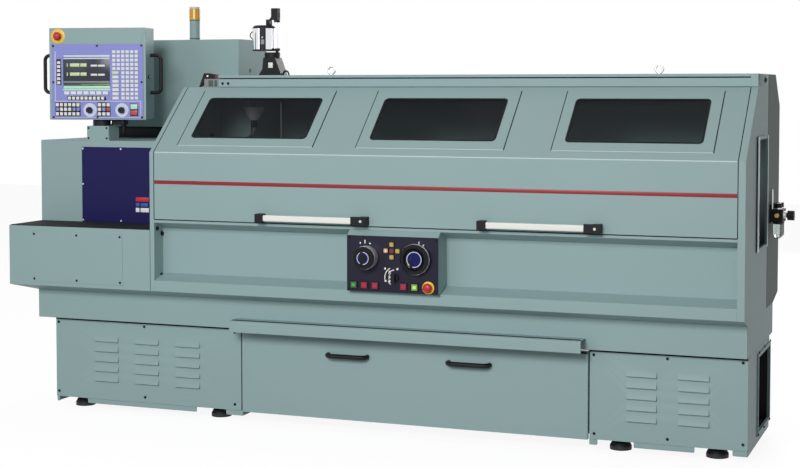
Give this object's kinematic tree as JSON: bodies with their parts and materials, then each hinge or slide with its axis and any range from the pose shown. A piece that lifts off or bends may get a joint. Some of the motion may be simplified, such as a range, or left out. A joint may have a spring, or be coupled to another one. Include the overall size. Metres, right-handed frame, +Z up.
{
  "type": "cnc turning lathe",
  "caption": "Flat-bed turning lathe with a full-length lift-up guard, swivelling control pendant, handwheel panel, louvred pedestals and a pull-out chip drawer.",
  "frame": {"origin": "middle of the footprint, on the floor", "axes": "+Z up, -Y towards the operator, -X towards the headstock"},
  "size_m": [3.415, 1.067, 1.874],
  "materials": {
    "body_paint": "satin spray enamel",
    "black_plastic": "fine-grained",
    "pad_iron": "blackened",
    "cast_bed": "painted casting with ground ways",
    "ground_steel": "ground",
    "navy_paint": "satin",
    "mat_rubber": "ribbed",
    "switch_grey": "moulded",
    "amber_lens": "ribbed translucent",
    "lavender_film": "satin film",
    "key_cream": "moulded",
    "smoked_pane": "clear sheet over a dark inside",
    "white_grip": "smooth",
    "stop_red": "smooth",
    "start_green": "smooth",
    "pale_green": "smooth",
    "lamp_chrome": "polished",
    "clear_bowl": "clear moulded"
  },
  "bodies": {
    "frame": {"levelling_feet": "pad_iron", "pedestals": "body_paint", "bolted_covers": "body_paint", "chip_pan": "body_paint", "lathe_bed": "cast_bed", "headstock": "cast_bed", "headstock_cover": "body_paint", "gear_panel": "navy_paint", "end_box": "body_paint", "end_box_mat": "mat_rubber", "left_end_frame": "body_paint", "right_end_frame": "body_paint", "front_apron": "body_paint", "roof": "body_paint", "lifting_eyes": "pad_iron", "interlock_switch": "switch_grey", "cabinet": "body_paint", "signal_body": "switch_grey", "signal_lens": "amber_lens", "operator_box": "body_paint", "operator_face": "black_plastic", "pendant_mount": "body_paint", "lamp_base": "black_plastic", "air_unit": "black_plastic", "air_bowls": "clear_bowl"},
    "door": {"guard_door": "body_paint", "window_frames": "body_paint", "window_panes": "smoked_pane", "grip_bars": "white_grip", "grip_brackets": "black_plastic"},
    "drawer": {"chip_drawer": "body_paint", "drawer_pulls": "black_plastic"},
    "pendant": {"pendant_box": "body_paint", "pendant_face": "lavender_film", "pendant_keys": "key_cream", "pendant_handles": "black_plastic"},
    "dial_left": {"dial_left": "black_plastic"},
    "dial_right": {"dial_right": "black_plastic"},
    "pendant_stop": {"pendant_stop": "stop_red"},
    "handwheel_left": {"handwheel_left": "black_plastic"},
    "handwheel_right": {"handwheel_right": "black_plastic"},
    "selector": {"selector": "black_plastic"},
    "button_1": {"button_1": "start_green"},
    "button_2": {"button_2": "stop_red"},
    "button_3": {"button_3": "stop_red"},
    "button_4": {"button_4": "stop_red"},
    "button_5": {"button_5": "pale_green"},
    "panel_stop": {"panel_stop": "stop_red"},
    "lamp_arm": {"lamp_arm": "black_plastic"},
    "lamp_upper": {"lamp_upper": "black_plastic"},
    "lamp_head": {"lamp_head": "lamp_chrome"},
    "carriage": {"carriage": "cast_bed"},
    "cross_slide": {"cross_slide": "cast_bed"},
    "turret": {"turret": "ground_steel"},
    "tailstock": {"tailstock": "cast_bed"},
    "quill": {"quill": "ground_steel"},
    "cabinet_door": {"cabinet_door": "body_paint"},
    "air_knob": {"air_knob": "black_plastic"},
    "spindle": {"spindle": "ground_steel", "chuck": "ground_steel"}
  },
  "joints": [
    {"name": "guard_lift", "type": "hinge", "parent": "frame", "child": "door", "pos_m": [0.317, -0.1274, 1.46205], "axis": [-1, 0, 0], "range_deg": [0, 70]},
    {"name": "drawer_slide", "type": "slide", "parent": "frame", "child": "drawer", "axis": [0, -1, 0], "range_m": [0, 0.45]},
    {"name": "pendant_swivel", "type": "hinge", "parent": "frame", "child": "pendant", "pos_m": [-1.4005, -0.1295, 1.329], "axis": [0, 0, 1], "range_deg": [-60, 60]},
    {"name": "dial_left_turn", "type": "hinge", "parent": "pendant", "child": "dial_left", "pos_m": [-1.42054, -0.20839, 1.374], "axis": [0.2079, -0.9781, 0], "range_deg": [-150, 150]},
    {"name": "dial_right_turn", "type": "hinge", "parent": "pendant", "child": "dial_right", "pos_m": [-1.2699, -0.17637, 1.374], "axis": [0.2079, -0.9781, 0], "range_deg": [-150, 150]},
    {"name": "pendant_stop_press", "type": "slide", "parent": "pendant", "child": "pendant_stop", "axis": [-0.2079, 0.9781, 0], "range_m": [0, 0.005], "stiffness_N_per_m": 600, "springref_m": -0.004},
    {"name": "handwheel_left_turn", "type": "hinge", "parent": "frame", "child": "handwheel_left", "pos_m": [0.074, -0.4735, 0.774], "axis": [0, -1, 0], "continuous": true},
    {"name": "handwheel_right_turn", "type": "hinge", "parent": "frame", "child": "handwheel_right", "pos_m": [0.29, -0.4735, 0.774], "axis": [0, -1, 0], "continuous": true},
    {"name": "selector_turn", "type": "hinge", "parent": "frame", "child": "selector", "pos_m": [0.195, -0.4735, 0.692], "axis": [0, -1, 0], "range_deg": [-60, 60]},
    {"name": "button_1_press", "type": "slide", "parent": "frame", "child": "button_1", "axis": [0, 1, 0], "range_m": [0, 0.003], "stiffness_N_per_m": 300, "springref_m": -0.003},
    {"name": "button_2_press", "type": "slide", "parent": "frame", "child": "button_2", "axis": [0, 1, 0], "range_m": [0, 0.003], "stiffness_N_per_m": 300, "springref_m": -0.003},
    {"name": "button_3_press", "type": "slide", "parent": "frame", "child": "button_3", "axis": [0, 1, 0], "range_m": [0, 0.003], "stiffness_N_per_m": 300, "springref_m": -0.003},
    {"name": "button_4_press", "type": "slide", "parent": "frame", "child": "button_4", "axis": [0, 1, 0], "range_m": [0, 0.003], "stiffness_N_per_m": 300, "springref_m": -0.003},
    {"name": "button_5_press", "type": "slide", "parent": "frame", "child": "button_5", "axis": [0, 1, 0], "range_m": [0, 0.003], "stiffness_N_per_m": 300, "springref_m": -0.003},
    {"name": "panel_stop_press", "type": "slide", "parent": "frame", "child": "panel_stop", "axis": [0, 1, 0], "range_m": [0, 0.005], "stiffness_N_per_m": 600, "springref_m": -0.004},
    {"name": "lamp_arm_turn", "type": "hinge", "parent": "frame", "child": "lamp_arm", "pos_m": [-0.6455, 0.1255, 1.621], "axis": [0, 0, 1], "range_deg": [-90, 90]},
    {"name": "lamp_elbow", "type": "hinge", "parent": "lamp_arm", "child": "lamp_upper", "pos_m": [-0.6215, 0.1255, 1.831], "axis": [0, 1, 0], "range_deg": [0, 50]},
    {"name": "lamp_tilt", "type": "hinge", "parent": "lamp_upper", "child": "lamp_head", "pos_m": [-0.66218, 0.1255, 1.78421], "axis": [0, 1, 0], "range_deg": [0, 45]},
    {"name": "spindle_turn", "type": "hinge", "parent": "frame", "child": "spindle", "pos_m": [-0.9245, 0.0465, 1.025], "axis": [1, 0, 0], "continuous": true},
    {"name": "carriage_travel", "type": "slide", "parent": "frame", "child": "carriage", "axis": [1, 0, 0], "range_m": [-0.1, 0.9]},
    {"name": "cross_travel", "type": "slide", "parent": "carriage", "child": "cross_slide", "axis": [0, 1, 0], "range_m": [-0.05, 0.12]},
    {"name": "turret_index", "type": "hinge", "parent": "cross_slide", "child": "turret", "pos_m": [-0.4325, -0.0585, 0.9196], "axis": [0, 0, 1], "continuous": true},
    {"name": "tailstock_travel", "type": "slide", "parent": "frame", "child": "tailstock", "axis": [1, 0, 0], "range_m": [-0.1, 0.15]},
    {"name": "quill_travel", "type": "slide", "parent": "tailstock", "child": "quill", "axis": [1, 0, 0], "range_m": [-0.15, 0.02]},
    {"name": "cabinet_door_swing", "type": "hinge", "parent": "frame", "child": "cabinet_door", "pos_m": [-1.6055, 0.5055, 1.4985], "axis": [0, 0, 1], "range_deg": [0, 110]},
    {"name": "air_knob_turn", "type": "hinge", "parent": "frame", "child": "air_knob", "pos_m": [1.6955, 0.3315, 0.933], "axis": [1, 0, 0], "continuous": true}
  ]
}
